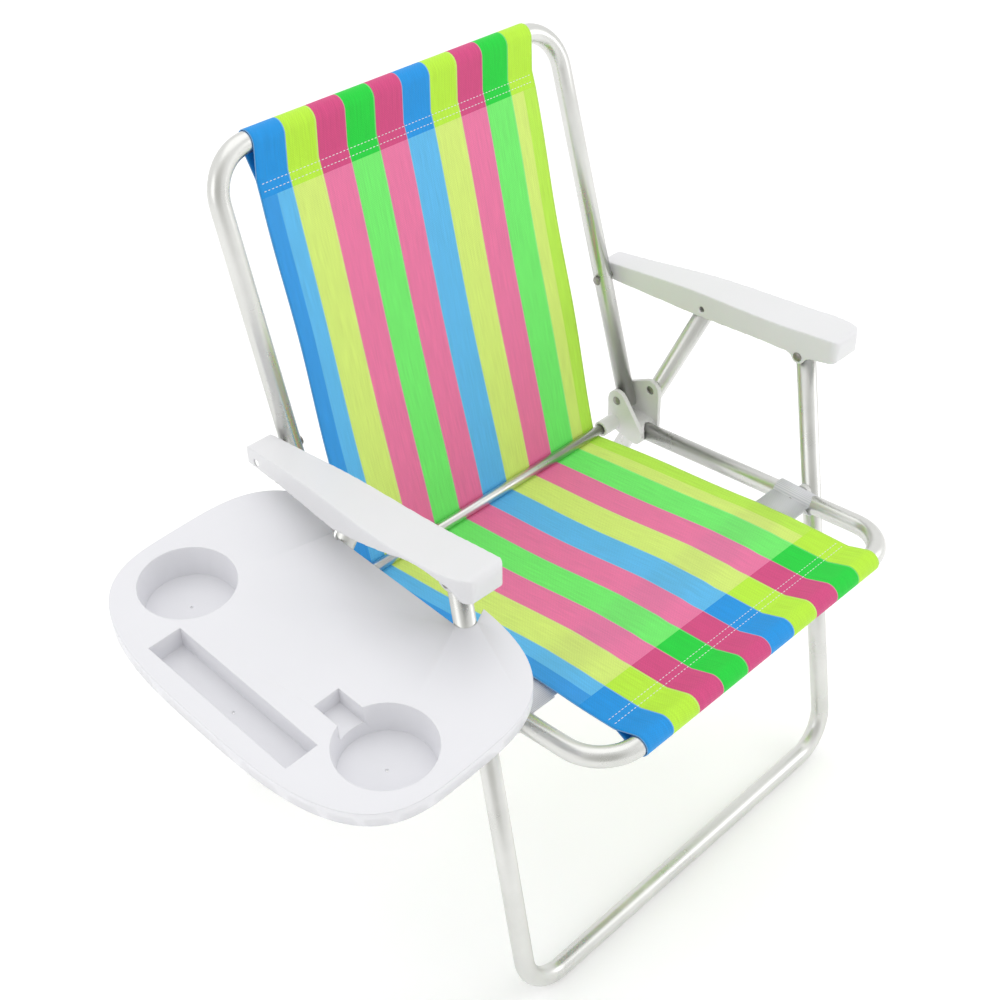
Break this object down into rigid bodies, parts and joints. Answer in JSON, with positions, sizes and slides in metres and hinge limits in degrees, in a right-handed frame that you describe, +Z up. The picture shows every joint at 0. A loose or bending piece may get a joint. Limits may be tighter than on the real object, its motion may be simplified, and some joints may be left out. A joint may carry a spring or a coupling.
{
  "type": "folding beach chair",
  "caption": "Low folding sling chair of aluminium tube with plastic armrests, a striped mesh seat and back, and a clip-on side tray with cup wells and a phone pocket.",
  "frame": {"origin": "middle of the bounding box's bottom face, on the floor", "axes": "+X towards the sitter's left, -Y the way the sitter faces, +Z up"},
  "size_m": [0.8374, 0.5774, 0.8526],
  "materials": {
    "aluminium_tube": "bare drawn tube, lightly brushed",
    "rivet_metal": "dull semi-tubular rivet",
    "white_plastic": "white injection-moulded polypropylene",
    "sling_mesh": "striped coated mesh cloth in blue, lime, pink and green",
    "strap_webbing": "white woven band"
  },
  "bodies": {
    "seat": {"seat_frame": "aluminium_tube", "cross_tube": "aluminium_tube", "seat_sling": "sling_mesh", "support_strap": "strap_webbing", "joint_block_right": "white_plastic", "leg_spacer_right": "white_plastic", "back_pivot_rivet_right": "rivet_metal", "rear_leg_rivet_right": "rivet_metal", "front_leg_rivet_right": "rivet_metal", "joint_block_left": "white_plastic", "leg_spacer_left": "white_plastic", "back_pivot_rivet_left": "rivet_metal", "rear_leg_rivet_left": "rivet_metal", "front_leg_rivet_left": "rivet_metal"},
    "back": {"back_frame": "aluminium_tube", "back_sling": "sling_mesh", "armrest_rear_rivet_right": "rivet_metal", "armrest_rear_rivet_left": "rivet_metal"},
    "front_legs": {"front_leg_frame": "aluminium_tube"},
    "rear_legs": {"rear_leg_frame": "aluminium_tube", "rear_leg_slide_pin_right": "rivet_metal", "rear_leg_slide_pin_left": "rivet_metal"},
    "armrest_right_arm": {"armrest_right": "white_plastic", "armrest_front_rivet_right": "rivet_metal"},
    "armrest_left_arm": {"armrest_left": "white_plastic", "armrest_front_rivet_left": "rivet_metal"},
    "tray": {"side_tray": "white_plastic"}
  },
  "joints": [
    {"name": "back_fold", "type": "hinge", "parent": "seat", "child": "back", "pos_m": [0.10669, 0.11936, 0.39952], "axis": [1, 0, 0], "range_deg": [0, 98]},
    {"name": "front_leg_fold", "type": "hinge", "parent": "seat", "child": "front_legs", "pos_m": [0.10669, -0.14338, 0.37963], "axis": [1, 0, 0], "range_deg": [0, 89]},
    {"name": "rear_leg_fold", "type": "hinge", "parent": "seat", "child": "rear_legs", "pos_m": [0.10669, 0.09163, 0.4136], "axis": [1, 0, 0], "range_deg": [0, 61.5]},
    {"name": "armrest_right_turn", "type": "hinge", "parent": "back", "child": "armrest_right_arm", "pos_m": [-0.15132, 0.16593, 0.5481], "axis": [1, 0, 0], "range_deg": [-96, 0]},
    {"name": "armrest_left_turn", "type": "hinge", "parent": "back", "child": "armrest_left_arm", "pos_m": [0.36468, 0.16593, 0.5481], "axis": [1, 0, 0], "range_deg": [-96, 0]},
    {"name": "tray_unclip", "type": "slide", "parent": "seat", "child": "tray", "axis": [-0.6816, -0.7318, 0], "range_m": [0, 0.485]}
  ],
  "couplings": [
    {"joint": "front_leg_fold", "follows": "back_fold", "ratio": 0.8995},
    {"joint": "rear_leg_fold", "follows": "back_fold", "ratio": 0.62},
    {"joint": "armrest_right_turn", "follows": "back_fold", "ratio": -0.9724},
    {"joint": "armrest_left_turn", "follows": "back_fold", "ratio": -0.9724},
    {"joint": "tray_unclip", "follows": "back_fold", "m_per_rad": 0.2788}
  ]
}
